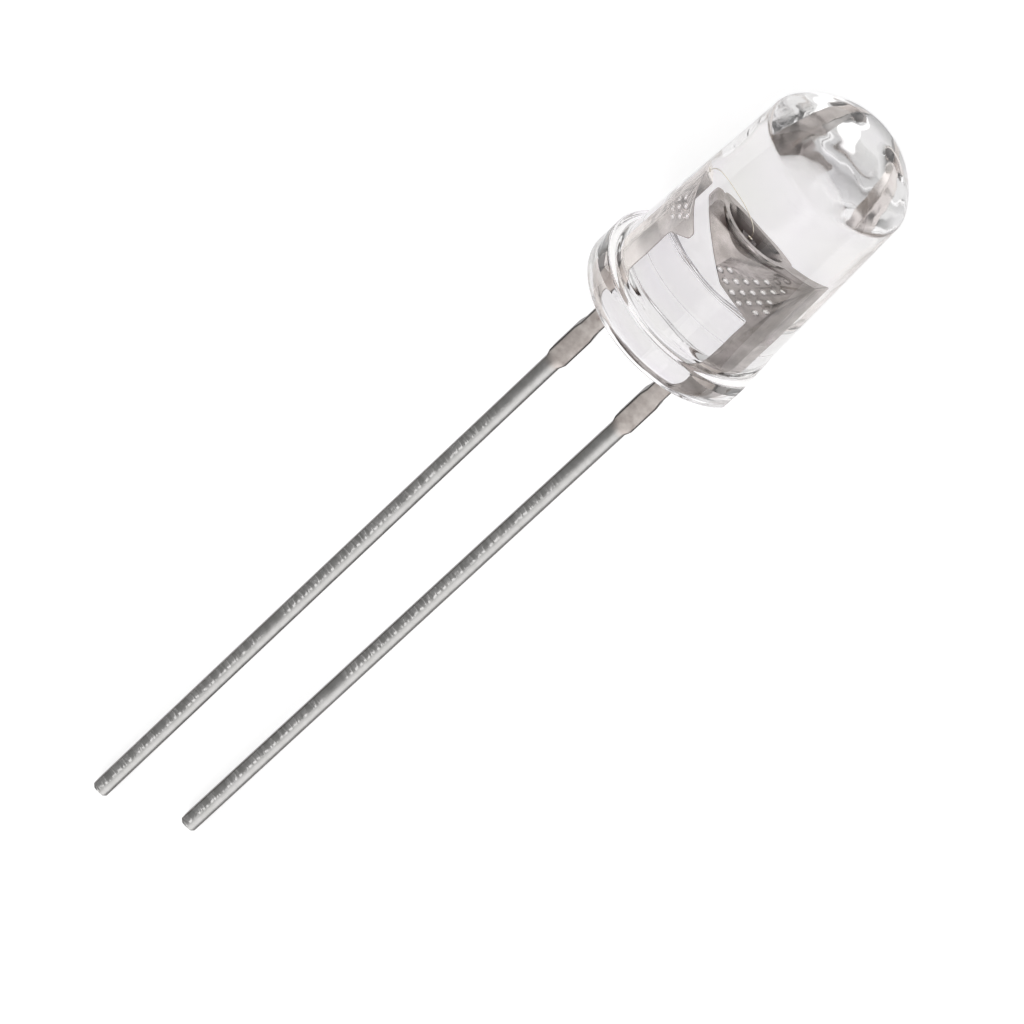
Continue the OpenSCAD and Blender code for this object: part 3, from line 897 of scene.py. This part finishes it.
# %% Table's grey and glow
TABLE_GREY = 0.8
TABLE_ROUGH = 0.6
TABLE_GLOW = 0.56
GLOW_IN_METAL = 0.34
GLOW_IN_RESIN = 0.58
GLOW_BESIDE = 0.0
BESIDE_FROM = 2 * MM
BESIDE_TO = 8 * MM
TABLE_WIDTH = 3.0


def grey(level):
    """A neutral colour."""
    return (level, level, level, 1)


def add_glow(tree, feature, value):
    """An emission shader with one of its inputs fed."""
    glow = tree.nodes.new("ShaderNodeEmission")
    feed(tree, glow.inputs[feature], value)
    return glow.outputs[0]


def rectangle(name, width, height, material, z=0.0):
    """A flat object of one face, level and centred on the axis."""
    corners = 0.5 * np.array([[-1, -1, 0], [1, -1, 0], [1, 1, 0], [-1, 1, 0]])
    mesh = bpy.data.meshes.new(name)
    mesh.from_pydata((corners * [width, height, 0] + [0, 0, z]).tolist(), [], [(0, 1, 2, 3)])
    mesh.materials.append(material)
    return new_object(name, mesh)


# %% Table
def make_table():
    """Diffuse grey plus a glow, whose strength depends on what the ray comes from: the camera,
    metal, or resin. For the resin it falls to nothing between two distances from the lamp's
    middle line. The largest of the three counts."""
    material, tree, shader, place = new_material("white_table")
    shader.inputs["Base Color"].default_value = grey(TABLE_GREY)
    shader.inputs["Roughness"].default_value = TABLE_ROUGH
    path = tree.nodes.new("ShaderNodeLightPath")
    beside = add_math(tree, "ABSOLUTE", add_parts(tree, place)["Y"])
    under = add_mask(tree, beside, BESIDE_TO, BESIDE_FROM)
    in_resin = add_range(tree, under, GLOW_BESIDE, GLOW_IN_RESIN)
    level = add_math(tree, "MULTIPLY", path.outputs["Is Transmission Ray"], in_resin)
    for kind, strength in (("Is Camera Ray", TABLE_GLOW), ("Is Glossy Ray", GLOW_IN_METAL)):
        seen = add_range(tree, path.outputs[kind], 0.0, strength)
        level = add_math(tree, "MAXIMUM", level, seen)
    both = tree.nodes.new("ShaderNodeAddShader")
    tree.links.new(shader.outputs[0], both.inputs[0])
    tree.links.new(add_glow(tree, "Strength", level), both.inputs[1])
    tree.links.new(both.outputs[0], tree.nodes["Material Output"].inputs["Surface"])
    return material


table = rectangle("table", TABLE_WIDTH, TABLE_WIDTH, make_table(), TABLE_Z)
print("table", TABLE_WIDTH, "m wide")

# %% [markdown]
# ## The light
# The studio is a plain white room, with one soft key light and a weaker fill. Bare metal shows
# nothing but what it mirrors, so a grey card stands on the anode's side: it darkens that half of
# each leg, and the key light shows as a bright line beside it. Only mirror-like reflections see
# the card. It throws no shadow, and light that has passed through the resin misses it.

# %% World
SURROUND = 0.8
SURROUND_DARK = 0.6
DARK_SIDE = (0.9, 0.1, 0.42)
DARK_SIDE_FROM = 0.3
DARK_SIDE_FULL = 0.95
HORIZON_DARK = 0.08
HORIZON_TOP = 0.62


def make_world():
    """White to the camera. To every other ray the room is a little under white. It darkens
    beyond the dome, where the cosine to that side mixes two levels, and near the floor, where
    the walls are far off and unlit."""
    world = bpy.data.worlds.new("studio")
    bpy.context.scene.world = world
    world.use_nodes = True
    tree = world.node_tree
    background = tree.nodes["Background"]
    background.inputs["Color"].default_value = grey(1.0)
    way = tree.nodes.new("ShaderNodeTexCoord").outputs["Generated"]
    room = add_range(tree, add_dot(tree, way, DARK_SIDE), SURROUND, SURROUND_DARK,
                     DARK_SIDE_FROM, DARK_SIDE_FULL, soft=True)
    above = add_mask(tree, add_parts(tree, way)["Z"], 0.0, HORIZON_TOP)
    walls = add_math(tree, "MULTIPLY", room, add_range(tree, above, HORIZON_DARK, 1.0))
    to_camera = tree.nodes.new("ShaderNodeLightPath").outputs["Is Camera Ray"]
    level = add_range(tree, to_camera, walls, 1.0)
    tree.links.new(level, background.inputs["Strength"])


make_world()
print("surround", SURROUND)

# %% Soft lights and the card
MIDDLE_OF_LEGS = Vector((-8 * MM, 0, 0))
LIGHT_DISTANCE = 0.4


def place_facing(obj, direction):
    """Puts an object out along a direction, turned to face the middle of the legs."""
    way = Vector(direction).normalized()
    obj.location = MIDDLE_OF_LEGS + way * LIGHT_DISTANCE
    obj.rotation_euler = way.to_track_quat("Z", "Y").to_euler()


def softbox(name, direction, width, height, power):
    """A rectangular area light."""
    light = bpy.data.lights.new(name, "AREA")
    light.shape = "RECTANGLE"
    light.size = width
    light.size_y = height
    light.energy = power
    place_facing(new_object(name, light), direction)


def grey_card(name, direction, width, height, level):
    """A card that only glossy rays see, with a plain grey glow."""
    material, tree, _, _ = new_material(name)
    glow = add_glow(tree, "Color", grey(level))
    tree.links.new(glow, tree.nodes["Material Output"].inputs["Surface"])
    card = rectangle(name, width, height, material)
    place_facing(card, direction)
    card.visible_camera = False
    card.visible_diffuse = False
    card.visible_transmission = False
    card.visible_shadow = False


softbox("key", direction=(-0.65, -0.3, 0.75), width=0.13, height=0.4, power=0.11)
softbox("fill", direction=(0.5, -0.6, 0.8), width=0.3, height=0.3, power=0.1)
grey_card("card", direction=(-0.65, 0.4, 0.75), width=0.44, height=0.5, level=0.22)
print("lights", [light.name for light in bpy.data.lights])

# %% [markdown]
# ## The camera
# The camera looks down on the lamp from beyond the dome, with a long lens, and is rolled so that
# the lamp runs from the lower left to the upper right. Its lens is worked out from the width
# that it takes in at the point it looks at.

# %% Camera
CAMERA_DISTANCE = 0.45
AZIMUTH = math.radians(-0.576)
ELEVATION = math.radians(61.991)
ROLL_ABOUT_VIEW = math.radians(-132.208)
LOOK_AT = (-9.165 * MM, -0.857 * MM)
VIEW_WIDTH = 28.1064 * MM
SENSOR = 36
CLIP = (0.01, 10)

camera_data = bpy.data.cameras.new("camera")
camera = new_object("camera", camera_data)
bpy.context.scene.camera = camera
back = Vector((math.cos(ELEVATION) * math.cos(AZIMUTH), math.cos(ELEVATION) * math.sin(AZIMUTH),
               math.sin(ELEVATION)))
side = Vector((0, 0, 1)).cross(back).normalized()
over = back.cross(side)
right = side * math.cos(ROLL_ABOUT_VIEW) + over * math.sin(ROLL_ABOUT_VIEW)
up = -side * math.sin(ROLL_ABOUT_VIEW) + over * math.cos(ROLL_ABOUT_VIEW)
camera.rotation_euler = Matrix((right, up, back)).transposed().to_euler()
camera.location = Vector((*LOOK_AT, TABLE_Z)) + back * CAMERA_DISTANCE
camera_data.sensor_width = SENSOR
camera_data.lens = SENSOR * CAMERA_DISTANCE / VIEW_WIDTH
camera_data.clip_start, camera_data.clip_end = CLIP
bpy.context.scene.view_settings.view_transform = "Standard"
print("camera lens", round(camera_data.lens, 1), "mm")

# %% [markdown]
# Light that enters the dome is thrown from wall to wall many times before it leaves, because
# the resin mirrors at a slant. If a render counts too few of those turns it paints the rest
# black, so the limits on bounces are raised.

# %% Bounces
BOUNCES = 32
cycles = bpy.context.scene.cycles
cycles.max_bounces = BOUNCES
cycles.transmission_bounces = BOUNCES
cycles.glossy_bounces = BOUNCES
print("bounces", BOUNCES)
